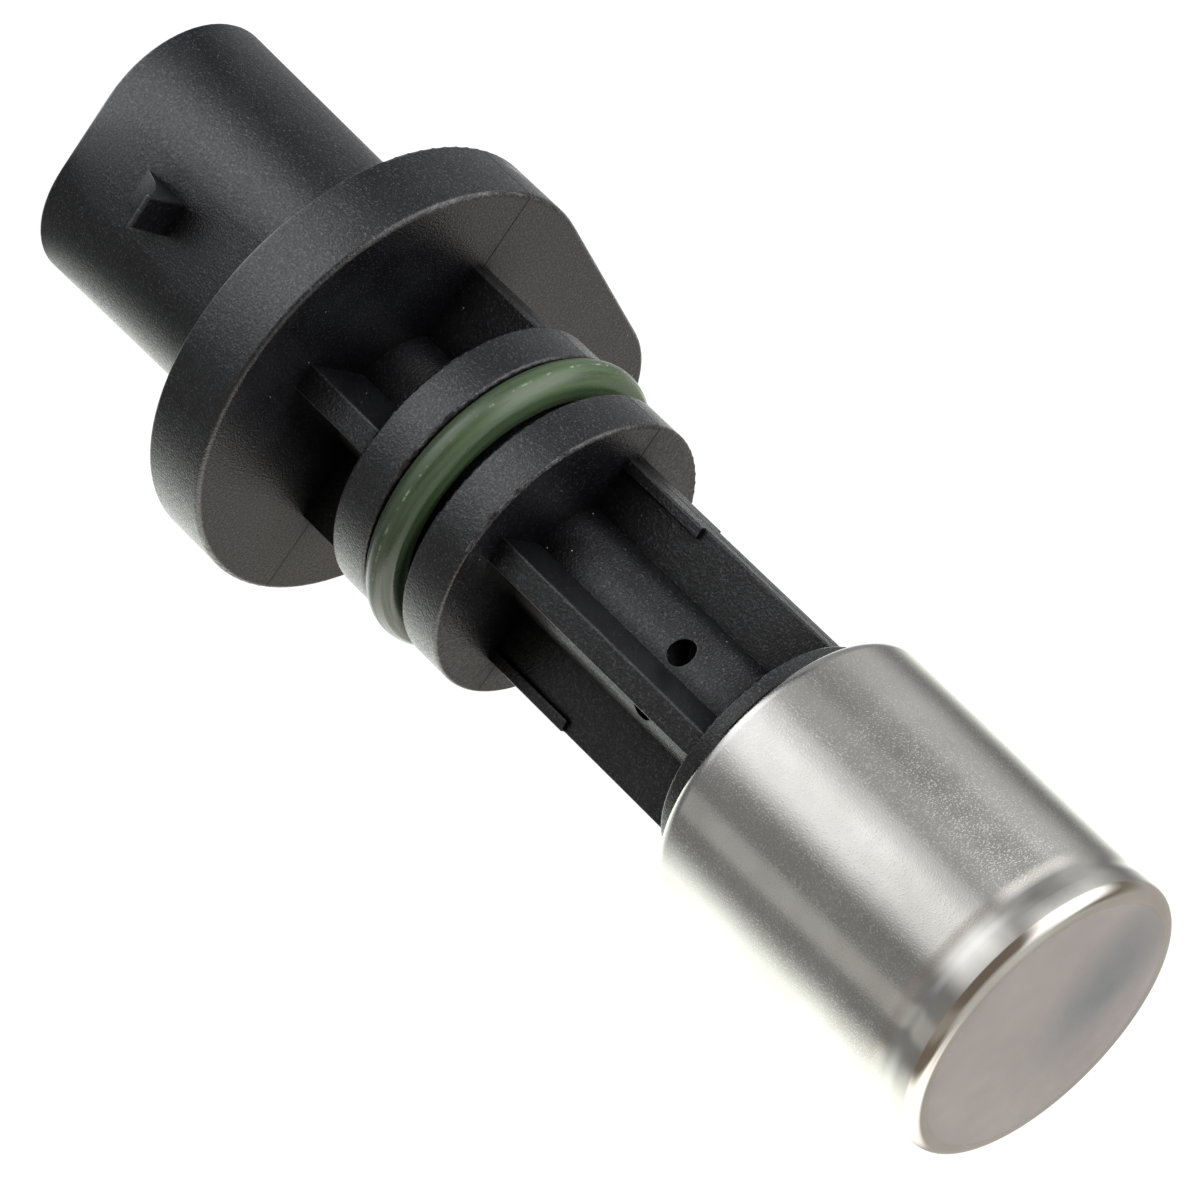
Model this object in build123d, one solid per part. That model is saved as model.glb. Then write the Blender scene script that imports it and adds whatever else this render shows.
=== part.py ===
from build123d import *
import os
from math import acos, cos, radians, sin, tan

# Frame: millimetres, +Z along the sensor axis towards the sensing tip, X in the mould's parting plane.
# The origin is the centre of the flange's seating face.

# flange with one bolting ear
flange_thickness = 5.0
flange_radius = 15.0
ear_offset = 16.0
ear_radius = 8.2
flange_edge_round = 0.35
bush_radius = 5.0
bush_hole_radius = 3.3
bush_edge_chamfer = 0.35

# connector shell, wide along X, set a little off the axis away from the latch side
shell_length = 21.15
shell_half_width = 9.67
shell_half_height = 7.0
shell_shift_y = -1.2
shell_corner_radius = 6.85
shell_taper_deg = 1.0
shell_wall = 1.7
shell_rim_round = 0.35
socket_depth = 16.5
socket_taper_deg = 0.5
socket_floor_round = 0.5

# latch tooth on the shell's +Y flat
tooth_width = 2.4
tooth_height = 3.55
tooth_catch_from_rim = 9.45
tooth_ramp_length = 4.0
tooth_land = 0.35
tooth_hollow_from_catch = 2.2
tooth_hollow_height = 0.95
tooth_sink = 0.4
tooth_edge_round = 0.2

# gland: two collars with the sealing ring between them, resting against the upper one
collar_radius = 10.0
collar_edge_round = 0.22
neck_length = 6.6
upper_collar_width = 3.1
gland_width = 3.6
lower_collar_width = 3.25
ring_section_diameter = 2.62
ring_proud = 0.57

# cross-shaped neck between flange and collars
neck_core_radius = 4.4
neck_fin_reach = 9.55
neck_fin_thickness = 1.8

# cross-shaped stem between collars and cap
stem_length = 18.3
stem_core_radius = 3.95
stem_fin_inset = 0.4
stem_rib_thickness = 1.7
stem_plate_thickness = 1.4
fin_edge_round = 0.12
bead_length = 6.8
bead_depth = 0.8
bead_thickness = 2.1
pin_hole_radius = 0.83
pin_hole_x = 1.95
pin_hole_from_collar = 11.73

# sensing cap, a drawn cup rolled in over the shoulder
shoulder_roll_gap = 0.98
shoulder_edge_round = 0.2
mouth_from_shoulder = 1.7
cap_length = 22.7
cap_mouth_radius = 9.98
cap_end_drop = 0.12
cap_wall = 0.5
mouth_roll_radius = 1.0
cap_waist_drop = 0.22
cap_waist_from_face = 2.3
cap_waist_half_length = 0.9
cap_lip_drop = 0.08
cap_lip_round = 1.0

# moulded disc inside the cap's mouth, with its own seal
disc_length = 4.6
seal_section_diameter = 1.5
seal_groove_width = 2.0
seal_land = 0.65

# coil assembly inside the cap
joint_space = 2.4
bobbin_flange_thickness = 1.0
bobbin_cap_gap = 0.86
bobbin_bore_radius = 2.5
bobbin_tube_wall = 0.8
bobbin_front_gap = 1.0
winding_from_flange = 0.8
tape_thickness = 0.25
magnet_length = 6.0
back_plate_thickness = 1.2

# terminals and their carrier
terminal_spacing = 5.0
blade_width = 2.8
blade_thickness = 0.8
blade_rim_gap = 4.0
blade_tip_chamfer = 0.25
strip_width = 1.6
tail_past_pin = 0.8
tail_thickness = 0.8
carrier_half_width = 3.5
carrier_half_height = 1.3
carrier_corner_radius = 0.5
carrier_inset = 1.5
bobbin_pin_radius = 0.4
bobbin_pin_inset = 2.5
bobbin_pin_free_length = 2.0
solder_radius = 1.05
solder_height = 0.55
wire_radius = 0.12
wire_from_pin = 0.75

# heights along the axis
flange_back_z = -flange_thickness
rim_z = flange_back_z - shell_length
socket_floor_z = rim_z + socket_depth
step_z = socket_floor_z + carrier_inset
upper_collar_z = neck_length
gland_z = upper_collar_z + upper_collar_width
lower_collar_z = gland_z + gland_width
ring_middle_z = gland_z + ring_section_diameter / 2
collar_face_z = lower_collar_z + lower_collar_width
shoulder_z = collar_face_z + stem_length
mouth_z = shoulder_z + mouth_from_shoulder
cap_face_z = mouth_z + cap_length
disc_z = mouth_z + cap_wall
disc_front_z = disc_z + disc_length
seal_groove_high_z = disc_front_z - seal_land
seal_groove_low_z = seal_groove_high_z - seal_groove_width
tail_front_z = disc_front_z + tail_thickness
bobbin_back_z = disc_front_z + joint_space
cap_inside_z = cap_face_z - cap_wall
bobbin_front_z = cap_inside_z - bobbin_front_gap
pin_low_z = bobbin_back_z - bobbin_pin_free_length
pin_high_z = bobbin_back_z + bobbin_flange_thickness
winding_high_z = bobbin_front_z - bobbin_flange_thickness
magnet_low_z = bobbin_back_z + back_plate_thickness
magnet_high_z = magnet_low_z + magnet_length

# radii that follow from the others
cap_inner_radius = cap_mouth_radius - cap_wall
cap_end_radius = cap_mouth_radius - cap_end_drop
cap_waist_radius = cap_mouth_radius - cap_waist_drop
cap_lip_radius = cap_mouth_radius - cap_lip_drop
shoulder_radius = cap_mouth_radius - mouth_roll_radius - shoulder_roll_gap
stem_fin_reach = shoulder_radius - stem_fin_inset
ring_outer_radius = collar_radius + ring_proud
gland_floor_radius = ring_outer_radius - ring_section_diameter
bobbin_tube_radius = bobbin_bore_radius + bobbin_tube_wall
bobbin_flange_radius = cap_waist_radius - cap_wall - bobbin_cap_gap
winding_radius = bobbin_flange_radius - winding_from_flange
bobbin_pin_x = bobbin_flange_radius - bobbin_pin_inset
tail_reach = bobbin_pin_x + tail_past_pin

sides = (-1, 1)


def round_bar(radius, z_low, z_high, x=0.0, y=0.0):
    return Pos(x, y, (z_low + z_high) / 2) * Cylinder(radius, z_high - z_low)


def block(x_ends, y_ends, z_ends):
    middle = Pos(sum(x_ends) / 2, sum(y_ends) / 2, sum(z_ends) / 2)
    return middle * Box(abs(x_ends[1] - x_ends[0]), abs(y_ends[1] - y_ends[0]), abs(z_ends[1] - z_ends[0]))


def end_edges(solid):
    # the edges of the lowest and the highest face
    faces = solid.faces().sort_by(Axis.Z)
    return faces[0].edges() + faces[-1].edges()


def fin_cross(reach, plate_thickness, rib_thickness, z_ends):
    # two plates crossing on the axis, their long outer edges rounded
    plate = block((-reach, reach), (-plate_thickness / 2, plate_thickness / 2), z_ends)
    rib = block((-rib_thickness / 2, rib_thickness / 2), (-reach, reach), z_ends)
    plate = fillet(plate.edges().filter_by(Axis.Z), fin_edge_round)
    rib = fillet(rib.edges().filter_by(Axis.Z), fin_edge_round)
    return plate + rib


def ring_at(section_diameter, outer_radius, z):
    section = Plane.XZ * Pos(outer_radius - section_diameter / 2, z) * Circle(section_diameter / 2)
    return revolve(section, Axis.Z)


def make_flange():
    # round plate and ear joined by their common tangents
    tilt = acos((flange_radius - ear_radius) / ear_offset)
    tangent_x = sin(tilt)
    tangent_y = -cos(tilt)
    web = Polyline(
        (flange_radius * tangent_x, flange_radius * tangent_y),
        (ear_radius * tangent_x, ear_radius * tangent_y - ear_offset),
        (-ear_radius * tangent_x, ear_radius * tangent_y - ear_offset),
        (-flange_radius * tangent_x, flange_radius * tangent_y),
        close=True,
    )
    outline = Circle(flange_radius) + Pos(0, -ear_offset) * Circle(ear_radius) + make_face(web)
    plate = extrude(Pos(0, 0, flange_back_z) * outline, flange_thickness)
    plate = fillet(end_edges(plate), flange_edge_round)
    return plate - round_bar(bush_radius, flange_back_z, 0, 0, -ear_offset)


def tapered_oval(half_width, half_height, corner_radius, z_low, length, taper_deg):
    # rounded rectangle that shrinks evenly all round from its low end to its high end
    shrink = length * tan(radians(taper_deg))
    low = RectangleRounded(2 * half_width, 2 * half_height, corner_radius)
    high = RectangleRounded(2 * (half_width - shrink), 2 * (half_height - shrink), corner_radius - shrink)
    ends = [Pos(0, shell_shift_y, z_low) * low, Pos(0, shell_shift_y, z_low + length) * high]
    return loft(ends, ruled=True)


def make_shell():
    # the socket's mouth is the rim; the shell narrows slightly towards the flange
    outer = tapered_oval(
        shell_half_width, shell_half_height, shell_corner_radius, rim_z, shell_length, shell_taper_deg
    )
    outer = fillet(outer.faces().sort_by(Axis.Z)[0].edges(), shell_rim_round)
    socket = tapered_oval(
        shell_half_width - shell_wall,
        shell_half_height - shell_wall,
        shell_corner_radius - shell_wall,
        rim_z,
        socket_depth,
        socket_taper_deg,
    )
    socket = fillet(socket.faces().sort_by(Axis.Z)[-1].edges(), socket_floor_round)
    return outer - socket


def make_tooth():
    # ramp for the plug's latch: hollow curve rising from the rim side, short land, square catch face
    catch_z = rim_z + tooth_catch_from_rim
    flat_y = shell_shift_y + shell_half_height - tooth_catch_from_rim * tan(radians(shell_taper_deg))
    top_y = flat_y + tooth_height
    start_z = catch_z - tooth_ramp_length
    side = [
        ThreePointArc(
            (flat_y, start_z),
            (flat_y + tooth_hollow_height, catch_z - tooth_hollow_from_catch),
            (top_y, catch_z - tooth_land),
        ),
        Line((top_y, catch_z - tooth_land), (top_y, catch_z)),
        Line((top_y, catch_z), (flat_y - tooth_sink, catch_z)),
        Line((flat_y - tooth_sink, catch_z), (flat_y - tooth_sink, start_z)),
        Line((flat_y - tooth_sink, start_z), (flat_y, start_z)),
    ]
    profile = Plane.YZ * make_face(Curve() + side)
    tooth = extrude(Pos(-tooth_width / 2, 0, 0) * profile, tooth_width)
    catch_face = tooth.faces().sort_by(Axis.Z)[-1]
    return fillet(catch_face.edges().sort_by(Axis.Y)[1:], tooth_edge_round)


def make_collars():
    upper = round_bar(collar_radius, upper_collar_z, gland_z)
    lower = round_bar(collar_radius, lower_collar_z, collar_face_z)
    upper = fillet(end_edges(upper), collar_edge_round)
    lower = fillet(end_edges(lower), collar_edge_round)
    return upper + lower + round_bar(gland_floor_radius, gland_z, lower_collar_z)


def make_neck():
    cross = fin_cross(neck_fin_reach, neck_fin_thickness, neck_fin_thickness, (0, neck_length))
    return cross + round_bar(neck_core_radius, 0, neck_length)


def make_stem():
    z_ends = (collar_face_z, shoulder_z)
    stem = fin_cross(stem_fin_reach, stem_plate_thickness, stem_rib_thickness, z_ends)
    stem += round_bar(stem_core_radius, collar_face_z, shoulder_z)
    half = bead_thickness / 2
    for side in sides:
        x_ends = (side * stem_fin_reach, side * (stem_fin_reach - bead_depth))
        bead = block(x_ends, (-half, half), (collar_face_z, collar_face_z + bead_length))
        stem += fillet(bead.edges().filter_by(Axis.Z), fin_edge_round)
    return stem


def make_disc():
    # shoulder seen behind the cap, and the disc that the cap's rolled mouth grips
    shoulder = round_bar(shoulder_radius, shoulder_z, disc_z)
    shoulder = fillet(shoulder.faces().sort_by(Axis.Z)[0].edges(), shoulder_edge_round)
    disc = round_bar(cap_inner_radius, disc_z, disc_front_z)
    disc = fillet(disc.faces().sort_by(Axis.Z)[0].edges(), mouth_roll_radius - cap_wall)
    groove = round_bar(cap_inner_radius, seal_groove_low_z, seal_groove_high_z)
    groove -= round_bar(cap_inner_radius - seal_section_diameter, seal_groove_low_z, seal_groove_high_z)
    return shoulder + disc - groove


def make_pin_holes():
    # blind holes left by the mould's pins, from both faces of the core down to the carrier
    holes = []
    for side in sides:
        for face in sides:
            y_ends = (face * carrier_half_height, face * stem_core_radius)
            place = Pos(side * pin_hole_x, sum(y_ends) / 2, collar_face_z + pin_hole_from_collar)
            holes.append(place * Rot(90, 0, 0) * Cylinder(pin_hole_radius, abs(y_ends[1] - y_ends[0])))
    return holes


def make_terminal(side):
    # flat blade in the socket, jog back to the axis plane, strip through the body, tail turned outwards
    x = side * terminal_spacing / 2
    half = blade_thickness / 2
    blade_x = (x - blade_width / 2, x + blade_width / 2)
    strip_x = (x - strip_width / 2, x + strip_width / 2)
    jog_z = step_z - blade_thickness
    blade = block(blade_x, (shell_shift_y - half, shell_shift_y + half), (rim_z + blade_rim_gap, step_z))
    blade = chamfer(blade.faces().sort_by(Axis.Z)[0].edges(), blade_tip_chamfer)
    jog = block(strip_x, (shell_shift_y, half), (jog_z, step_z))
    strip = block(strip_x, (-half, half), (jog_z, tail_front_z))
    tail_x = (x - side * strip_width / 2, side * tail_reach)
    tail = block(tail_x, (-strip_width / 2, strip_width / 2), (disc_front_z, tail_front_z))
    hole = round_bar(bobbin_pin_radius, disc_front_z, tail_front_z, side * bobbin_pin_x)
    return blade + jog + strip + tail - hole


def make_carrier():
    # first moulding that holds the two strips apart
    outline = RectangleRounded(2 * carrier_half_width, 2 * carrier_half_height, carrier_corner_radius)
    return extrude(Pos(0, 0, step_z) * outline, disc_front_z - step_z)


def make_bobbin():
    tube = round_bar(bobbin_tube_radius, bobbin_back_z, bobbin_front_z)
    back = round_bar(bobbin_flange_radius, bobbin_back_z, pin_high_z)
    front = round_bar(bobbin_flange_radius, winding_high_z, bobbin_front_z)
    return tube + back + front - round_bar(bobbin_bore_radius, bobbin_back_z, bobbin_front_z)


def make_cap():
    # outside, from the mouth's rolled edge to the flat face, then back along the inside
    diagonal = cos(radians(45))
    roll_r = cap_mouth_radius - mouth_roll_radius
    roll_z = mouth_z + mouth_roll_radius
    inner_roll = mouth_roll_radius - cap_wall
    waist_z = cap_face_z - cap_waist_from_face
    waist_start_z = waist_z - cap_waist_half_length
    lip_r = cap_lip_radius - cap_lip_round
    lip_z = cap_face_z - cap_lip_round
    end_inner_radius = cap_waist_radius - cap_wall
    straight = (0, 1)
    outside = [
        ThreePointArc(
            (roll_r, mouth_z),
            (roll_r + mouth_roll_radius * diagonal, roll_z - mouth_roll_radius * diagonal),
            (cap_mouth_radius, roll_z),
        ),
        Line((cap_mouth_radius, roll_z), (cap_mouth_radius, disc_front_z)),
        Line((cap_mouth_radius, disc_front_z), (cap_end_radius, waist_start_z)),
        Spline(
            (cap_end_radius, waist_start_z),
            (cap_waist_radius, waist_z),
            (cap_lip_radius, lip_z),
            tangents=[straight, straight, straight],
        ),
        ThreePointArc(
            (cap_lip_radius, lip_z),
            (lip_r + cap_lip_round * diagonal, lip_z + cap_lip_round * diagonal),
            (lip_r, cap_face_z),
        ),
    ]
    inside = [
        Line((lip_r, cap_face_z), (0, cap_face_z)),
        Line((0, cap_face_z), (0, cap_inside_z)),
        Line((0, cap_inside_z), (end_inner_radius, cap_inside_z)),
        Line((end_inner_radius, cap_inside_z), (end_inner_radius, waist_z)),
        Line((end_inner_radius, waist_z), (cap_inner_radius, disc_front_z)),
        Line((cap_inner_radius, disc_front_z), (cap_inner_radius, roll_z)),
        ThreePointArc(
            (cap_inner_radius, roll_z),
            (roll_r + inner_roll * diagonal, roll_z - inner_roll * diagonal),
            (roll_r, disc_z),
        ),
        Line((roll_r, disc_z), (roll_r, mouth_z)),
    ]
    return revolve(Plane.XZ * make_face(Curve() + outside + inside), Axis.Z)


def make_bush():
    # steel sleeve that takes the bolt's clamping load through the plastic ear
    sleeve = round_bar(bush_radius, flange_back_z, 0, 0, -ear_offset)
    sleeve -= round_bar(bush_hole_radius, flange_back_z, 0, 0, -ear_offset)
    hole_edges = end_edges(sleeve).filter_by(lambda edge: edge.radius < bush_radius)
    return chamfer(hole_edges, bush_edge_chamfer)


terminals = [make_terminal(side) for side in sides]
carrier = make_carrier()
body = make_flange() + make_shell() + make_tooth() + make_neck() + make_collars() + make_stem() + make_disc()
for cutter in make_pin_holes() + [make_carrier()] + terminals:
    body -= cutter
for terminal in terminals:
    carrier -= terminal

bobbin = make_bobbin()
pins = [round_bar(bobbin_pin_radius, pin_low_z, pin_high_z, side * bobbin_pin_x) for side in sides]
wire_x = bobbin_pin_x - wire_from_pin
wires = [round_bar(wire_radius, tail_front_z, pin_high_z, side * wire_x) for side in sides]
for cutter in pins + wires:
    bobbin -= cutter

solder = []
for side, pin, wire in zip(sides, pins, wires):
    blob = round_bar(solder_radius, tail_front_z, tail_front_z + solder_height, side * bobbin_pin_x)
    solder.append(blob - pin - wire)

tape = round_bar(winding_radius + tape_thickness, pin_high_z, winding_high_z)
tape -= round_bar(winding_radius, pin_high_z, winding_high_z)
winding = round_bar(winding_radius, pin_high_z, winding_high_z)
winding -= round_bar(bobbin_tube_radius, pin_high_z, winding_high_z)
back_plate = round_bar(bobbin_bore_radius, bobbin_back_z, magnet_low_z)
magnet = round_bar(bobbin_bore_radius, magnet_low_z, magnet_high_z)
pole_piece = round_bar(bobbin_bore_radius, magnet_high_z, cap_inside_z)

cap = make_cap()
cap_seal = ring_at(seal_section_diameter, cap_inner_radius, (seal_groove_low_z + seal_groove_high_z) / 2)
sealing_ring = ring_at(ring_section_diameter, ring_outer_radius, ring_middle_z)

# casting resin fills what the coil assembly leaves free inside the cap
resin = round_bar(cap_mouth_radius, disc_front_z, cap_face_z) - cap
for filled in [bobbin, winding, tape, back_plate, magnet, pole_piece] + terminals + pins + wires + solder:
    resin -= filled
resin = resin.solids().sort_by(SortBy.VOLUME)[-1]

nodes = {
    "moulded_body": body,
    "sensing_cap": cap,
    "sealing_ring": sealing_ring,
    "compression_bush": make_bush(),
    "terminal_left": terminals[0],
    "terminal_right": terminals[1],
    "terminal_carrier": carrier,
    "cap_seal": cap_seal,
    "coil_bobbin": bobbin,
    "coil_winding": winding,
    "winding_tape": tape,
    "magnet": magnet,
    "pole_piece": pole_piece,
    "back_plate": back_plate,
    "casting_resin": resin,
    "bobbin_pin_left": pins[0],
    "bobbin_pin_right": pins[1],
    "coil_lead_left": wires[0],
    "coil_lead_right": wires[1],
    "solder_joint_left": solder[0],
    "solder_joint_right": solder[1],
}

os.makedirs("parts", exist_ok=True)
for name, solid in nodes.items():
    export_step(solid, f"parts/{name}.step")
    size = solid.bounding_box().size
    print(name, len(solid.solids()), f"{solid.volume:.1f} mm3", f"{size.X:.2f} x {size.Y:.2f} x {size.Z:.2f}")
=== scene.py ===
import bpy
import numpy as np
from mathutils import Matrix, Vector


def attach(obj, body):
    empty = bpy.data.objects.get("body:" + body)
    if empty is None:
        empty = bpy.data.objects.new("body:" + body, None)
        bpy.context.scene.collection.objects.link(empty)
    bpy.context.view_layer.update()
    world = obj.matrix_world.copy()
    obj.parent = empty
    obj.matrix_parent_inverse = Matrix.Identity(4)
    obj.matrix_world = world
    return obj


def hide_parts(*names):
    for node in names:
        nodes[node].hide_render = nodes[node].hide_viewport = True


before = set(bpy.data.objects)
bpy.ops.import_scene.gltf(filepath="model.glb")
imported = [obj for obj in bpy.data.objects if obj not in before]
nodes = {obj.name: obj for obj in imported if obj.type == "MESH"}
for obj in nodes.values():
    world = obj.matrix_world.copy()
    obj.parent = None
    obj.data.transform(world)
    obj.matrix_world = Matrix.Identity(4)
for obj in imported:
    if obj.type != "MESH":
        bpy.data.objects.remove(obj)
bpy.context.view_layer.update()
mm = 0.001


# helpers for colours and shader nodes

def linear(hexColour):
    # sRGB hex to linear red, green, blue and alpha, by the standard curve
    values = np.array([int(hexColour[i:i + 2], 16) for i in (1, 3, 5)]) / 255
    curve = np.where(values <= 0.04045, values / 12.92, ((values + 0.055) / 1.055) ** 2.4)
    return (*curve.tolist(), 1.0)


def addNode(tree, kind, settings=None, values=None, links=None):
    # one node, its settings, its socket values and what feeds its sockets
    node = tree.nodes.new(kind)
    for key, value in (settings or {}).items():
        setattr(node, key, value)
    for key, value in (values or {}).items():
        node.inputs[key].default_value = value
    for key, source in (links or {}).items():
        tree.links.new(source, node.inputs[key])
    return node


mixSockets = {"RGBA": (6, 7, 2), "VECTOR": (4, 5, 1)}  # the Mix node's two inputs and its output, by kind


def mix(tree, factor, first, second, kind="RGBA"):
    # first and second are sockets or hex colours; factor 0 gives the first
    *inputs, output = mixSockets[kind]
    node = addNode(tree, "ShaderNodeMix", {"data_type": kind}, links={0: factor})
    for socket, value in zip(inputs, (first, second)):
        if isinstance(value, str):
            node.inputs[socket].default_value = linear(value)
        else:
            tree.links.new(value, node.inputs[socket])
    return node.outputs[output]


def mixShaders(tree, factor, first, second):
    # factor 0 gives the first
    return addNode(tree, "ShaderNodeMixShader", links={0: factor, 1: first, 2: second}).outputs[0]


def span(tree, value, low, high, first=0.0, last=1.0):
    # maps low..high to first..last and holds the ends
    return addNode(tree, "ShaderNodeMapRange",
                   values={"From Min": low, "From Max": high, "To Min": first, "To Max": last},
                   links={"Value": value}).outputs["Result"]


def combine(tree, operation, first, second=0.0):
    # math on two sockets, or on a socket and a number
    node = addNode(tree, "ShaderNodeMath", {"operation": operation}, links={0: first})
    if isinstance(second, (int, float)):
        node.inputs[1].default_value = second
    else:
        tree.links.new(second, node.inputs[1])
    return node.outputs["Value"]


def product(tree, first, second):
    return combine(tree, "MULTIPLY", first, second)


def vectorMath(tree, operation, first, second=(0, 0, 0), output="Value"):
    # vector math on a socket, with a second socket or a fixed vector
    node = addNode(tree, "ShaderNodeVectorMath", {"operation": operation}, links={0: first})
    if isinstance(second, tuple):
        node.inputs[1].default_value = second
    else:
        tree.links.new(second, node.inputs[1])
    return node.outputs[output]


def axes(tree, place):
    return addNode(tree, "ShaderNodeSeparateXYZ", links={"Vector": place}).outputs


def axisDistance(tree, place):
    # distance from the Z axis
    return vectorMath(tree, "LENGTH", vectorMath(tree, "MULTIPLY", place, (1, 1, 0), "Vector"))


def noise(tree, place, width, detail, roughness=0.5):
    # fractal noise whose largest features are about the given width across
    values = {"Scale": 1 / width, "Detail": detail, "Roughness": roughness}
    return addNode(tree, "ShaderNodeTexNoise", values=values, links={"Vector": place}).outputs["Fac"]


def dustSpecks(tree, place, spacing, low, high, keep):
    # 1 on small round specks, one in some of the cells of the given spacing
    cells = addNode(tree, "ShaderNodeTexVoronoi", values={"Scale": 1 / spacing}, links={"Vector": place})
    pick = addNode(tree, "ShaderNodeSeparateColor", links={"Color": cells.outputs["Color"]}).outputs["Red"]
    size = span(tree, pick, 0.0, keep, 1.0, 0.0)
    return product(tree, span(tree, cells.outputs["Distance"], low, high, 1.0, 0.0), size)


def twoTone(tree, source, low, high, dark, light):
    # dark up to low, light from high on, and straight in between
    ramp = addNode(tree, "ShaderNodeValToRGB", links={"Fac": source})
    first, last = ramp.color_ramp.elements
    first.position, first.color = low, linear(dark)
    last.position, last.color = high, linear(light)
    return ramp.outputs["Color"]


def newMaterial(name):
    # an empty material, its node tree and its object coordinates
    material = bpy.data.materials.new(name)
    material.use_nodes = True
    tree = material.node_tree
    tree.nodes.clear()
    return material, tree, addNode(tree, "ShaderNodeTexCoord").outputs["Object"]


def bumped(tree, height, strength, depth, links=None):
    # the surface's normal bumped by a height; depth is what a height of 1 stands for
    return addNode(tree, "ShaderNodeBump", values={"Strength": strength, "Distance": depth},
                   links={"Height": height, **(links or {})}).outputs["Normal"]


def addShader(tree, base, rough, normal, values, links=None):
    # principled shader with its colour, roughness and normal, wired to the output
    shader = addNode(tree, "ShaderNodeBsdfPrincipled", values=values,
                     links={"Base Color": base, "Roughness": rough, "Normal": normal, **(links or {})})
    addNode(tree, "ShaderNodeOutputMaterial", links={"Surface": shader.outputs["BSDF"]})


def paint(piece, material):
    piece.data.materials.clear()
    piece.data.materials.append(material)


# helpers for meshes

def meshFromGrid(name, points, closed, poles):
    # points is a (rows, columns, 3) grid; columns close on themselves, rows close too or end in poles,
    # each of them a row, a height in mm and whether its fan is turned over
    rows, columns = points.shape[:2]
    index = np.arange(rows * columns).reshape(rows, columns)
    upper = index if closed else index[:-1]
    lower = np.roll(index, -1, axis=0) if closed else index[1:]
    quads = np.stack([upper, np.roll(upper, -1, axis=1), np.roll(lower, -1, axis=1), lower], axis=-1)
    faces = quads.reshape(-1, 4).tolist()
    verts = points.reshape(-1, 3)
    for row, height, flip in poles:
        ring = index[row]
        fan = np.stack([ring, np.roll(ring, -1), np.full(columns, len(verts))], axis=-1)
        faces += (fan[:, ::-1] if flip else fan).tolist()
        verts = np.vstack([verts, [[0, 0, height * mm]]])
    mesh = bpy.data.meshes.new(name)
    mesh.from_pydata(verts.tolist(), [], faces)
    mesh.shade_smooth()
    piece = bpy.data.objects.new(name, mesh)
    bpy.context.scene.collection.objects.link(piece)
    return piece


def arc(centre, radius, start, end, count):
    # points of a circle's arc in the (radius, height) plane, angles in degrees
    angle = np.radians(np.linspace(start, end, count))
    return np.stack([centre[0] + radius * np.cos(angle), centre[1] + radius * np.sin(angle)], axis=-1)


def revolve(profile, columns):
    # carries a (radius, height) profile round the Z axis: x = r cos a, y = r sin a, z = height
    angle = np.linspace(0, 2 * np.pi, columns, endpoint=False)
    radius = profile[:, :1]
    height = np.repeat(profile[:, 1:], columns, axis=1)
    return np.stack([radius * np.cos(angle), radius * np.sin(angle), height], axis=-1) * mm


print("helpers ready")


# moulded body: glass-filled nylon, satin from the mould, near black with a fine sparkling grain

plastic = {
    "dark": "#060608", "light": "#101114", "glint": "#2e2f35", "scuff": "#656566", "dust": "#8a8a86",
    # line is the parting line's colour; corner is painted shade, the colour that inner corners are darkened
    # to
    "line": "#040404", "corner": "#030303",
    "roughness": (0.30, 0.44), "gloss": 0.5, "ior": 1.53, "skinRoughness": 0.20, "skinIor": 1.5,
    # noises: real width, detail, roughness of the noise
    "grain": (0.16 * mm, 2.0, 0.6), "patch": (3.5 * mm, 5.0, 0.6), "chips": (0.9 * mm, 4.0, 0.7),
    "grainStrength": 0.9, "grainDepth": 0.04 * mm,
    # limits between which a noise or a mask rises, some with what it then gives
    "tones": (0.35, 0.7), "glints": (0.58, 0.74), "skin": (0.36, 0.66, 0.3, 1.0),
    "edgeRound": 0.14 * mm, "edges": (0.985, 0.86), "wear": (0.44, 0.66),
    "samples": 6, "cornerReach": 4.5 * mm, "outward": (0.7, 1.0), "shade": (0.4, 0.95, 0.12, 1.0),
    "rubPlace": (14.8 * mm, -2.4 * mm, -3.5 * mm), "rubFade": (0.4 * mm, 1.5 * mm, 1.0, 0.0),
    "rubChips": (0.47, 0.56),
    "lineFade": (0.05 * mm, 0.10 * mm, 1.0, 0.0), "linesAbove": -4.5 * mm,
    # dust: spacing of its cells, solid and faded radius as shares of that, share of the cells with a speck
    "specks": (0.9 * mm, 0.03, 0.06, 0.22),
}


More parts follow.
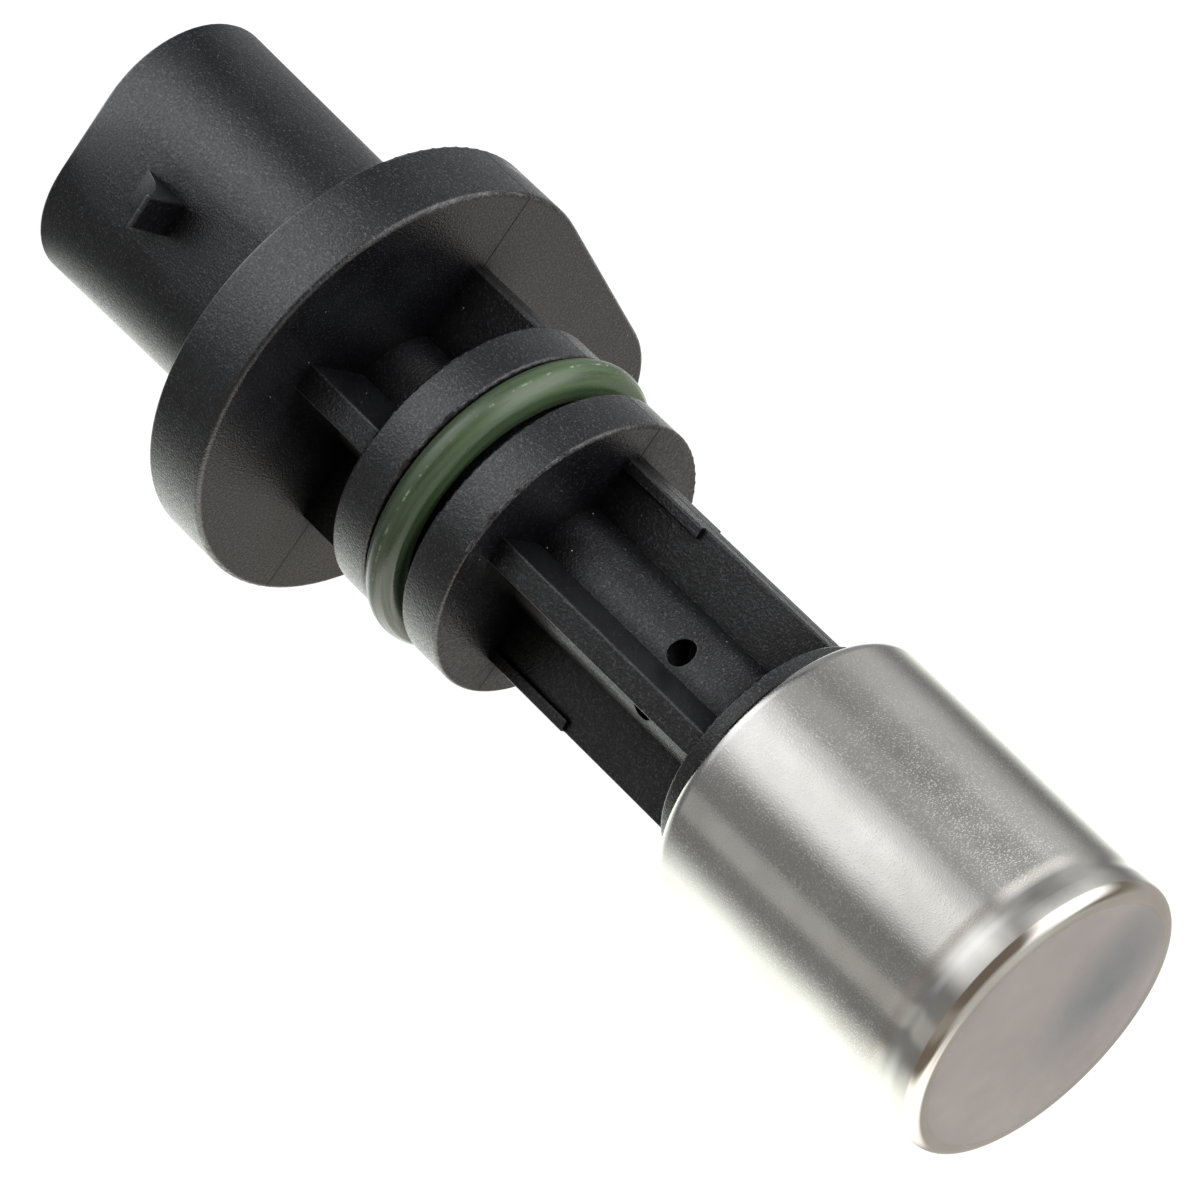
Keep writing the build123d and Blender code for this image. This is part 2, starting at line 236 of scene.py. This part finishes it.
def mouldedNylon():
    # glass-filled nylon: near black, its resin skin broken up by fibres so that every highlight sparkles
    p = plastic
    material, tree, place = newMaterial("mouldedGlassNylon")
    grain = noise(tree, place, *p["grain"])
    patch = noise(tree, place, *p["patch"])
    base = twoTone(tree, patch, *p["tones"], p["dark"], p["light"])
    # painted glints: the grain's peaks are lighter in the colour itself, to stand for fibres catching light
    base = mix(tree, span(tree, grain, *p["glints"]), base, p["glint"])

    # openness is low in inner corners: those stay sharp and get painted shade, a darker colour and weaker
    # gloss, and only outward edges are rounded and worn
    surface = addNode(tree, "ShaderNodeNewGeometry").outputs
    bevel = addNode(tree, "ShaderNodeBevel", {"samples": p["samples"]}, {"Radius": p["edgeRound"]})
    rounded = bevel.outputs["Normal"]
    facing = vectorMath(tree, "DOT_PRODUCT", rounded, surface["True Normal"])
    openness = addNode(tree, "ShaderNodeAmbientOcclusion", {"samples": p["samples"], "only_local": True},
                       {"Distance": p["cornerReach"]}).outputs["AO"]
    outward = span(tree, openness, *p["outward"])
    soft = mix(tree, outward, surface["Normal"], rounded, "VECTOR")
    edge = product(tree, span(tree, facing, *p["edges"]), outward)
    shade = span(tree, openness, *p["shade"])
    chips = noise(tree, place, *p["chips"])
    worn = product(tree, edge, span(tree, chips, *p["wear"]))
    base = mix(tree, worn, base, p["scuff"])

    # one scuffed patch on the rim of the flange, where it has rubbed against something hard
    away = vectorMath(tree, "DISTANCE", place, p["rubPlace"])
    rub = product(tree, span(tree, away, *p["rubFade"]), span(tree, chips, *p["rubChips"]))
    base = mix(tree, rub, base, p["scuff"])

    # parting line of the mould: thin and dark where the surface crosses the plane y = 0, but not on the shell
    along = axes(tree, place)
    line = span(tree, combine(tree, "ABSOLUTE", along["Y"]), *p["lineFade"])
    line = product(tree, line, combine(tree, "GREATER_THAN", along["Z"], p["linesAbove"]))
    base = mix(tree, line, base, p["line"])

    # painted shade: the colour goes towards the corner tone where openness is low
    base = mix(tree, shade, p["corner"], base)
    base = mix(tree, dustSpecks(tree, place, *p["specks"]), base, p["dust"])

    height = combine(tree, "SUBTRACT", grain, line)
    normal = bumped(tree, height, p["grainStrength"], p["grainDepth"], {"Normal": soft})
    rough = span(tree, patch, 0.0, 1.0, *p["roughness"])
    skin = product(tree, span(tree, grain, *p["skin"]), span(tree, line, 0.0, 1.0, 1.0, 0.0))
    addShader(tree, base, rough, normal,
              {"IOR": p["ior"], "Coat Roughness": p["skinRoughness"], "Coat IOR": p["skinIor"]},
              {"Coat Weight": product(tree, skin, shade), "Coat Normal": normal,
               "Specular IOR Level": product(tree, shade, p["gloss"])})
    return material


# sensing cap: deep-drawn steel, tin plated, with the soft ripple that plating leaves

capSizes = {
    # mm
    "mouthZ": 36.55, "gripZ": 41.8, "faceZ": 59.25, "mouthRadius": 9.98, "endRadius": 9.86,
    "waistRadius": 9.82, "waistFromFace": 2.85, "waistHalf": 1.15, "lipRadius": 9.92, "lipRound": 0.9,
    "dish": 0.06, "dishFromLip": 0.25, "roll": 1.0, "wall": 0.5, "poleRadius": 0.4,
    # points round the axis and along each stretch of the profile
    "columns": 256, "faceRows": 10, "curveRows": 14, "sideRows": 20, "rollRows": 18, "innerRollRows": 12,
}


def capPiece():
    # closed profile carried round the axis: slightly sunk face, quarter-circle lip, waist that follows a
    # cosine down and up, slight taper, straight grip, quarter-circle roll at the mouth, then the inner wall
    c = capSizes
    curveRows, sideRows = c["curveRows"], c["sideRows"]
    lipMiddle = (c["lipRadius"] - c["lipRound"], c["faceZ"] - c["lipRound"])
    rollMiddle = (c["mouthRadius"] - c["roll"], c["mouthZ"] + c["roll"])
    waistZ = c["faceZ"] - c["waistFromFace"]
    aboveZ, belowZ = waistZ + c["waistHalf"], waistZ - c["waistHalf"]
    lowFaceZ, insideZ = c["faceZ"] - c["dish"], c["faceZ"] - c["wall"]
    ease = (1 - np.cos(np.linspace(0, np.pi, curveRows))) / 2

    faceRadii = np.linspace(c["poleRadius"], lipMiddle[0] - c["dishFromLip"], c["faceRows"])
    face = np.stack([faceRadii, np.full(c["faceRows"], lowFaceZ)], axis=-1)
    lip = arc(lipMiddle, c["lipRound"], 90, 0, curveRows)[1:]
    upper = np.stack([c["lipRadius"] + (c["waistRadius"] - c["lipRadius"]) * ease,
                      np.linspace(aboveZ, waistZ, curveRows)], axis=-1)
    lower = np.stack([c["waistRadius"] + (c["endRadius"] - c["waistRadius"]) * ease,
                      np.linspace(waistZ, belowZ, curveRows)], axis=-1)[1:]
    side = np.stack([np.linspace(c["endRadius"], c["mouthRadius"], sideRows),
                     np.linspace(belowZ, c["gripZ"], sideRows)], axis=-1)[1:]
    roll = arc(rollMiddle, c["roll"], 0, -90, c["rollRows"])
    innerRoll = arc(rollMiddle, c["roll"] - c["wall"], -90, 0, c["innerRollRows"])
    endInner = c["waistRadius"] - c["wall"]
    inner = np.array([(c["mouthRadius"] - c["wall"], c["gripZ"]), (endInner, waistZ), (endInner, insideZ),
                      (c["poleRadius"], insideZ)])
    profile = np.vstack([face, lip, upper, lower, side, roll, innerRoll, inner])
    poles = [(0, lowFaceZ, True), (len(profile) - 1, insideZ, False)]
    return meshFromGrid("drawnCap", revolve(profile, c["columns"])[:, ::-1], False, poles)


plating = {
    "sideDark": "#cbc9c4", "sideLight": "#dddbd7", "pimple": "#e9e7e3",
    "endDark": "#cdc9ca", "endLight": "#d6d3d4", "stain": "#a3abb1",
    "roughness": (0.12, 0.48), "pimpleRoughness": 0.18, "smearRoughness": (0.3, 0.7, -0.03, 0.04),
    # noises: real width, detail, roughness of the noise where it isn't even
    "cloud": (5.0 * mm, 4.0), "smear": (1.2 * mm, 3.0), "pimples": (0.12 * mm, 1.0, 0.4),
    "reliefStrength": 0.5, "reliefDepth": 0.005 * mm,
    # limits between which a noise or a mask rises, some with what it then gives
    "tones": (0.3, 0.7), "pimpleTops": (0.48, 0.78), "pimpleHeight": (54.8 * mm, 56.6 * mm, 1.0, 0.0),
    "faceHeight": (58.4 * mm, 58.8 * mm), "faceReach": (8.75 * mm, 8.95 * mm, 1.0, 0.0),
    "stainPlace": (3.7 * mm, -3.0 * mm, 59.2 * mm), "stainTurn": 19, "stainScale": (0.6, 1.0, 1.0),
    "stainFade": (1.2 * mm, 4.6 * mm, 1.0, 0.0), "stainCloud": (0.3, 0.65, 0.45, 0.9),
}


def platedSteel():
    # tin-plated drawn steel: bright, with fine pimples that pick up light inside the dark reflections; the
    # pressed end face is matt and warmer, with a faint bluish stain
    p = plating
    material, tree, place = newMaterial("tinPlatedDrawnSteel")
    height = axes(tree, place)["Z"]
    within = span(tree, axisDistance(tree, place), *p["faceReach"])
    onFace = product(tree, span(tree, height, *p["faceHeight"]), within)
    cloud = noise(tree, place, *p["cloud"])
    smear = noise(tree, place, *p["smear"])
    pimples = span(tree, noise(tree, place, *p["pimples"]), *p["pimpleTops"])
    pimples = product(tree, pimples, span(tree, height, *p["pimpleHeight"]))
    side = twoTone(tree, cloud, *p["tones"], p["sideDark"], p["sideLight"])
    side = mix(tree, pimples, side, p["pimple"])

    # the stain is an oval: longer along the direction that its scale squeezes
    end = twoTone(tree, cloud, *p["tones"], p["endDark"], p["endLight"])
    centred = vectorMath(tree, "SUBTRACT", place, p["stainPlace"], "Vector")
    oval = addNode(tree, "ShaderNodeMapping", links={"Vector": centred},
                   values={"Rotation": (0, 0, np.radians(p["stainTurn"])), "Scale": p["stainScale"]})
    away = vectorMath(tree, "LENGTH", oval.outputs["Vector"])
    stain = product(tree, span(tree, away, *p["stainFade"]), span(tree, cloud, *p["stainCloud"]))
    end = mix(tree, stain, end, p["stain"])

    rough = span(tree, onFace, 0.0, 1.0, *p["roughness"])
    rough = combine(tree, "ADD", rough, span(tree, smear, *p["smearRoughness"]))
    rough = combine(tree, "ADD", rough, product(tree, pimples, p["pimpleRoughness"]))
    relief = combine(tree, "ADD", pimples, smear)
    normal = bumped(tree, relief, p["reliefStrength"], p["reliefDepth"])
    addShader(tree, mix(tree, onFace, side, end), rough, normal, {"Metallic": 1.0})
    return material


# sealing ring: olive green fluorocarbon rubber from a two-part mould, with a film of oil

ringSizes = {
    # mm
    "sectionRadius": 1.31, "middleRadius": 9.26, "middleZ": 11.01, "flashHeight": 0.02,
    "flashPower": 40, "rows": 56, "columns": 256,
}


def ringPiece():
    # torus: a circle carried round the axis, whose radius swells by the flash's height times a high power of
    # the cosine of the turn, so a hair of flash stands on its outer and inner line
    r = ringSizes
    turn = np.linspace(0, 2 * np.pi, r["rows"], endpoint=False)
    section = r["sectionRadius"] - r["flashHeight"] + r["flashHeight"] * np.cos(turn) ** r["flashPower"]
    profile = np.stack([r["middleRadius"] + section * np.cos(turn),
                        r["middleZ"] + section * np.sin(turn)], axis=-1)
    return meshFromGrid("greenRing", revolve(profile, r["columns"])[:, ::-1], True, [])


rubber = {
    "dark": "#253022", "light": "#36452e", "dust": "#b9bd9a", "flash": "#6f7c62",
    "roughness": (0.22, 0.46), "oil": (0.75, 0.15), "oilRoughness": 0.26, "ior": 1.5,
    # the streaks' noise is slow round the ring and quick across it
    "streakLength": 7.0 * mm, "streakWidth": 0.30 * mm, "streakDetail": 3.0,
    "tones": (0.30, 0.7), "streaks": (0.35, 0.65),
    "fine": (0.22 * mm, 2.0), "fineStrength": 0.35, "fineDepth": 0.02 * mm,
    "flashShift": 0.2 * mm, "flashFade": (0.03 * mm, 0.08 * mm, 0.8, 0.0),
    "flashNoise": (0.8 * mm, 3.0, 0.7), "flashBreaks": (0.52, 0.62),
    "specks": (1.4 * mm, 0.03, 0.055, 0.12),
}


def oiledRubber():
    # olive sealing rubber: satin, with fine streaks along the ring where a film of oil has dried, and a
    # broken pale line on the crown where the mould halves met
    p = rubber
    material, tree, place = newMaterial("oiledGreenRubber")

    # noise in x, y, z and distance from the axis
    slow, quick = 1 / p["streakLength"], 1 / p["streakWidth"]
    stretched = addNode(tree, "ShaderNodeMapping", values={"Scale": (slow, slow, quick)},
                        links={"Vector": place})
    streak = addNode(tree, "ShaderNodeTexNoise", {"noise_dimensions": "4D"},
                     {"Scale": 1.0, "Detail": p["streakDetail"]},
                     {"Vector": stretched.outputs["Vector"],
                      "W": product(tree, axisDistance(tree, place), quick)}).outputs["Fac"]
    base = twoTone(tree, streak, *p["tones"], p["dark"], p["light"])
    base = mix(tree, dustSpecks(tree, place, *p["specks"]), base, p["dust"])

    crown = ringSizes["middleZ"] * mm + p["flashShift"]
    offCrown = combine(tree, "ABSOLUTE", combine(tree, "SUBTRACT", axes(tree, place)["Z"], crown))
    breaks = span(tree, noise(tree, place, *p["flashNoise"]), *p["flashBreaks"])
    base = mix(tree, product(tree, span(tree, offCrown, *p["flashFade"]), breaks), base, p["flash"])

    rough = span(tree, streak, *p["streaks"], *p["roughness"])
    normal = bumped(tree, noise(tree, place, *p["fine"]), p["fineStrength"], p["fineDepth"])
    addShader(tree, base, rough, normal, {"IOR": p["ior"], "Coat Roughness": p["oilRoughness"]},
              {"Coat Weight": span(tree, streak, *p["streaks"], *p["oil"]), "Coat Normal": normal})
    return material


# small pieces, most of them inside: each has the colour and finish of its own stuff

finishes = {
    # dark and light tone, metallic, roughness, width of the grain in mm, nodes
    "zincPlatedSteel": ("#a9a9a6", "#c9c8c2", 1.0, 0.36, 0.30, ["compression_bush"]),  # soft grey shine
    "tinnedBrass": ("#b4b2aa", "#d0cec6", 1.0, 0.30, 0.25,  # bright, slightly warm
                    ["terminal_left", "terminal_right", "bobbin_pin_left", "bobbin_pin_right"]),
    "carrierNylon": ("#232326", "#303034", 0.0, 0.50, 0.20, ["terminal_carrier"]),  # dull, dark grey
    "nitrileRubber": ("#141414", "#222222", 0.0, 0.55, 0.25, ["cap_seal"]),  # black, matt
    "bobbinNylon": ("#a39a80", "#b8af95", 0.0, 0.45, 0.20, ["coil_bobbin"]),  # undyed, straw coloured
    "enamelledCopper": ("#a4501f", "#c7713a", 1.0, 0.30, 0.12,  # lacquered red brown
                        ["coil_winding", "coil_lead_left", "coil_lead_right"]),
    "amberTape": ("#b98a24", "#cf9f35", 0.0, 0.30, 0.40, ["winding_tape"]),  # smooth amber film
    "groundMagnet": ("#6c6c6e", "#87878a", 1.0, 0.40, 0.15, ["magnet"]),  # dull grey from the wheel
    "turnedIron": ("#7d7b78", "#989692", 1.0, 0.35, 0.15, ["pole_piece", "back_plate"]),  # bare, grey
    "castResin": ("#17171a", "#242428", 0.0, 0.25, 0.60, ["casting_resin"]),  # glossy as it set
    "brightSolder": ("#b9bbbd", "#d5d6d7", 1.0, 0.22, 0.30,  # shiny
                     ["solder_joint_left", "solder_joint_right"]),
}

finishPattern = {
    "patchGrains": 6, "patchDetail": 5.0, "grainDetail": 2.0, "tones": (0.35, 0.65),
    "smoother": 0.06, "rougher": 0.08, "strength": 0.2, "depth": 0.015 * mm,
}


def simpleFinish(name, dark, light, metal, roughness, grainWidth):
    # two tones in soft patches, with a fine grain in the bump
    p = finishPattern
    material, tree, place = newMaterial(name)
    patch = noise(tree, place, p["patchGrains"] * grainWidth * mm, p["patchDetail"])
    grain = noise(tree, place, grainWidth * mm, p["grainDetail"])
    base = twoTone(tree, patch, *p["tones"], dark, light)
    rough = span(tree, patch, 0.0, 1.0, roughness - p["smoother"], roughness + p["rougher"])
    addShader(tree, base, rough, bumped(tree, grain, p["strength"], p["depth"]), {"Metallic": metal})
    return material


paint(nodes["moulded_body"], mouldedNylon())
for name, (dark, light, metal, roughness, grainWidth, members) in finishes.items():
    finish = simpleFinish(name, dark, light, metal, roughness, grainWidth)
    for member in members:
        paint(nodes[member], finish)
print("body and inner pieces painted")

cap = capPiece()
paint(cap, platedSteel())
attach(cap, "root")
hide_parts("sensing_cap")

ring = ringPiece()
paint(ring, oiledRubber())
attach(ring, "root")
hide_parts("sealing_ring")
print("cap and ring made")


# studio: white floor and backdrop; what gloss and metal reflect is a ring of soft boxes with dark gaps

studio = {
    "floorZ": -26.16 * mm, "floorSize": 6.0, "floorTone": "#f6f6f6", "floorGlow": 0.92, "glowStrength": 1.06,
    "dayStrength": 0.42,
    "cameraPlace": (0.100616, 0.295662, 0.189055), "focalLength": 180.36, "sensorWidth": 36.0,
    "cameraRight": (0.549478, -0.548321, 0.630411), "cameraUp": (0.785699, 0.082484, -0.613086),
    "cameraBack": (0.284169, 0.832190, 0.476138), "clip": (0.01, 50),
    "seam": -109.0,  # azimuth behind the sensor where the ring of boxes begins and ends
    "full": 2.4,  # radiance that a share of 1 stands for
    # radii in m: near the sensor the floor gives the light of closeBoxes, then floorBoxes, then the backdrop
    "closeFloor": 0.08, "floorStart": 0.14, "floorEnd": 0.19, "backdropStart": 0.36,
    # height of a direction (sine) where the ring of boxes starts to give way to the ceiling, and where it has
    "ceilingStart": 0.68, "ceilingEnd": 0.95, "ceilingTone": "#908f8b",
    # tints
    "plain": (1.0, 1.0, 1.0), "green": (0.96, 1.0, 0.93), "cream": (1.0, 0.97, 0.90),
    "cool": (0.95, 0.975, 1.0), "brown": (1.0, 0.82, 0.64),
    # lamps: place, width, power
    "lampTarget": (0, 0, 0.015),
    "keyLamp": ((0.40, 0.12, 0.22), 0.34, 5.0), "fillLamp": ((-0.30, -0.30, 0.25), 0.30, 1.5),
}

# each box: azimuth of its middle, half its even width, fade on either side (degrees), share of full, tint
floorBoxes = {
    "gap": (0.10, "plain"),
    "sideBox": (-25, 7, 28, 0.14, "plain"),
    "lowBox": (36, 12, 26, 0.085, "plain"),
    "mainBox": (70, 8, 24, 0.38, "plain"),
    "thinBox": (131, 6, 7, 0.10, "cream"),
    "tableBox": (226.5, 31.5, 42, 0.55, "green"),
}
closeBoxes = {
    "gap": (0.045, "cool"),
    "sideBox": (-35, 25, 30, 0.10, "cool"),
    "mainBox": (65, 8, 42, 0.66, "cool"),
    "thinBox": (135, 20, 20, 0.04, "plain"),
    "tableBox": (226.5, 31.5, 42, 0.58, "green"),
}
backdropBoxes = {
    "gap": (0.085, "brown"),
    "keyBox": (1, 18, 25, 0.80, "plain"),
    "thinBox": (118, 5, 14, 0.07, "cream"),
    "tableBox": (193, 21, 18, 0.72, "cream"),
    "backBox": (-104, 34, 30, 0.13, "plain"),
}


def studioBands(tree, vector, boxes):
    # brightness by azimuth about the sensor axis: the boxes' sum at each of their corners, eased in between
    seam = studio["seam"]
    turned = addNode(tree, "ShaderNodeMapping", values={"Rotation": (0, 0, np.radians(-180 - seam))},
                     links={"Vector": vector}).outputs["Vector"]
    around = addNode(tree, "ShaderNodeTexGradient", {"gradient_type": "RADIAL"}, links={"Vector": turned})
    gapShare, gapTint = boxes["gap"]
    members = [box for name, box in boxes.items() if name != "gap"]
    corners = {(middle + side - seam) % 360 for middle, half, fade, share, tint in members
               for side in (-half - fade, -half, half, half + fade)}
    turns = np.array(sorted(corners | {0.0, 360.0}))
    total = gapShare * np.array(studio[gapTint]) * np.ones((len(turns), 1))
    for middle, half, fade, share, tint in members:
        away = np.abs((turns + seam - middle + 180) % 360 - 180)
        total += np.clip((half + fade - away) / fade, 0, 1)[:, None] * share * np.array(studio[tint])
    ramp = addNode(tree, "ShaderNodeValToRGB", links={"Fac": around.outputs["Fac"]})
    ramp.color_ramp.interpolation = "EASE"
    elements = ramp.color_ramp.elements
    for turn in turns[1:-1]:
        elements.new(turn / 360)
    for element, colour in zip(elements, total.tolist()):
        element.color = (*colour, 1.0)
    return ramp.outputs["Color"]


def rayKinds(tree):
    # 1 for rays that come off gloss, and 1 for rays straight from the camera or through clear stuff
    path = addNode(tree, "ShaderNodeLightPath").outputs
    return path["Is Glossy Ray"], combine(tree, "MAXIMUM", path["Is Camera Ray"], path["Is Transmission Ray"])


def even(tree, kind, strength):
    # white light of one strength
    return addNode(tree, kind, values={"Color": (1, 1, 1, 1), "Strength": strength}).outputs[0]


def whiteWorld():
    # camera and clear materials see white; gloss sees the boxes; the rest is even daylight
    world = bpy.data.worlds.new("softStudio")
    world.use_nodes = True
    tree = world.node_tree
    tree.nodes.clear()
    gloss, clear = rayKinds(tree)
    direction = addNode(tree, "ShaderNodeTexCoord").outputs["Generated"]
    ceiling = span(tree, axes(tree, direction)["Z"], studio["ceilingStart"], studio["ceilingEnd"])
    bands = mix(tree, ceiling, studioBands(tree, direction, backdropBoxes), studio["ceilingTone"])
    boxes = addNode(tree, "ShaderNodeBackground", values={"Strength": studio["full"]}, links={"Color": bands})
    day = even(tree, "ShaderNodeBackground", studio["dayStrength"])
    lit = mixShaders(tree, gloss, day, boxes.outputs[0])
    seen = mixShaders(tree, clear, lit, even(tree, "ShaderNodeBackground", 1.0))
    addNode(tree, "ShaderNodeOutputWorld", links={"Surface": seen})
    bpy.context.scene.world = world


def whiteTable():
    # white board: camera rays get mostly an even glow and a share of the board itself, which keeps the
    # sensor's shadow; gloss sees the boxes' light, which changes with the distance from the sensor
    material, tree, place = newMaterial("whiteTable")
    gloss, clear = rayKinds(tree)
    matte = addNode(tree, "ShaderNodeBsdfDiffuse", values={"Color": linear(studio["floorTone"])}).outputs[0]
    glow = even(tree, "ShaderNodeEmission", studio["glowStrength"])
    reach = vectorMath(tree, "LENGTH", place)
    bands = mix(tree, span(tree, reach, studio["closeFloor"], studio["floorStart"]),
                studioBands(tree, place, closeBoxes), studioBands(tree, place, floorBoxes))
    bands = mix(tree, span(tree, reach, studio["floorEnd"], studio["backdropStart"]),
                bands, studioBands(tree, place, backdropBoxes))
    boxes = addNode(tree, "ShaderNodeEmission", values={"Strength": studio["full"]}, links={"Color": bands})
    shown = mixShaders(tree, product(tree, clear, studio["floorGlow"]), matte, glow)
    surface = mixShaders(tree, gloss, shown, boxes.outputs[0])
    addNode(tree, "ShaderNodeOutputMaterial", links={"Surface": surface})
    return material


def floorPiece():
    # square white floor at the height that the sensor stands on
    half = studio["floorSize"] / 2
    z = studio["floorZ"]
    mesh = bpy.data.meshes.new("studioFloor")
    corners = [(-half, -half, z), (half, -half, z), (half, half, z), (-half, half, z)]
    mesh.from_pydata(corners, [], [(0, 1, 2, 3)])
    floor = bpy.data.objects.new("studioFloor", mesh)
    bpy.context.scene.collection.objects.link(floor)
    paint(floor, whiteTable())


def areaLamp(name):
    place, size, power = studio[name]
    lamp = bpy.data.lights.new(name, "AREA")
    lamp.shape = "SQUARE"
    lamp.size = size
    lamp.energy = power
    holder = bpy.data.objects.new(name, lamp)
    holder.visible_glossy = False  # gloss reflects the ring of boxes instead
    holder.visible_camera = False
    holder.location = place
    aim = Vector(studio["lampTarget"]) - Vector(place)
    holder.rotation_euler = aim.to_track_quat("-Z", "Y").to_euler()
    bpy.context.scene.collection.objects.link(holder)


def makeCamera():
    data = bpy.data.cameras.new("photoCamera")
    data.lens = studio["focalLength"]
    data.sensor_width = studio["sensorWidth"]
    data.sensor_fit = "HORIZONTAL"
    data.clip_start, data.clip_end = studio["clip"]
    camera = bpy.data.objects.new("photoCamera", data)
    columns = [studio["cameraRight"], studio["cameraUp"], studio["cameraBack"]]
    turned = Matrix(columns).transposed().to_4x4()
    camera.matrix_world = Matrix.Translation(studio["cameraPlace"]) @ turned
    bpy.context.scene.collection.objects.link(camera)
    bpy.context.scene.camera = camera


whiteWorld()
floorPiece()
areaLamp("keyLamp")
areaLamp("fillLamp")
makeCamera()
bpy.context.scene.view_settings.view_transform = "Standard"
print("studio ready")
